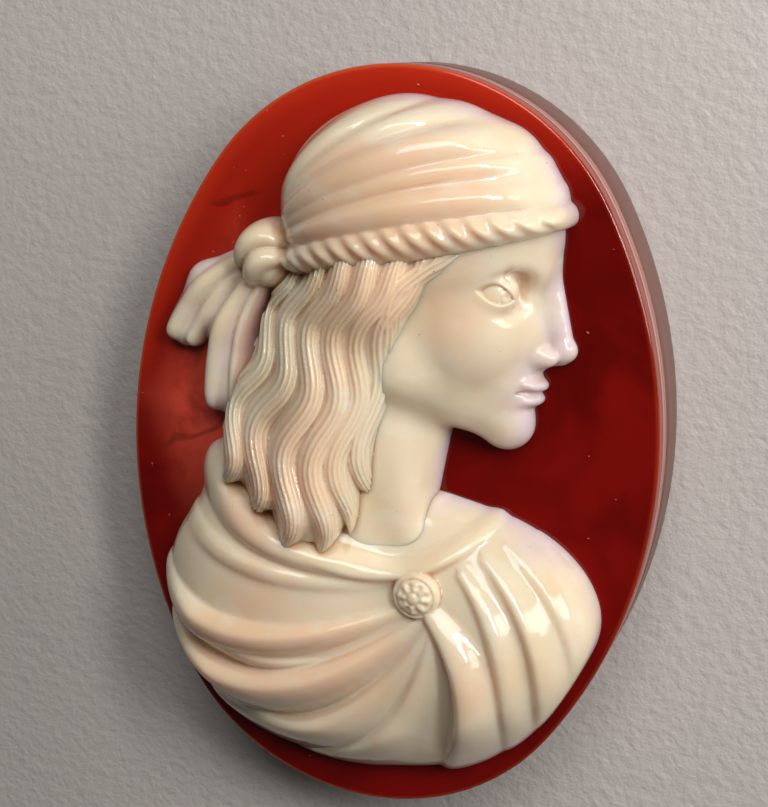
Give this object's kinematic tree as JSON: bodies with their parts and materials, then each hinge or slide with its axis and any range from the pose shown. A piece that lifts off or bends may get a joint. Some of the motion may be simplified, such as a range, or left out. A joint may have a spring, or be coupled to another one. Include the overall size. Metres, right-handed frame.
{
  "type": "hardstone cameo",
  "caption": "Oval cameo of banded hardstone: a lady's bust in profile with a wrapped head cloth, wavy hair and a clasped cloak, in high relief over a red ground.",
  "frame": {"origin": "centre of the plate's flat back face", "axes": "+Z out of the relief, +Y to the top of the bust's head, +X to the side that the face looks to"},
  "size_m": [0.0364, 0.05, 0.0143],
  "materials": {
    "mauve_stone": "polished banded agate, mauve brown",
    "pale_stone": "polished banded agate, pale pink and cream lines",
    "red_stone": "polished translucent carnelian red",
    "cream_stone": "polished cream and peach agate, carved"
  },
  "bodies": {
    "root": {"back_layer": "mauve_stone", "pale_band": "pale_stone", "red_ground": "red_stone", "bust_relief": "cream_stone"}
  },
  "joints": []
}
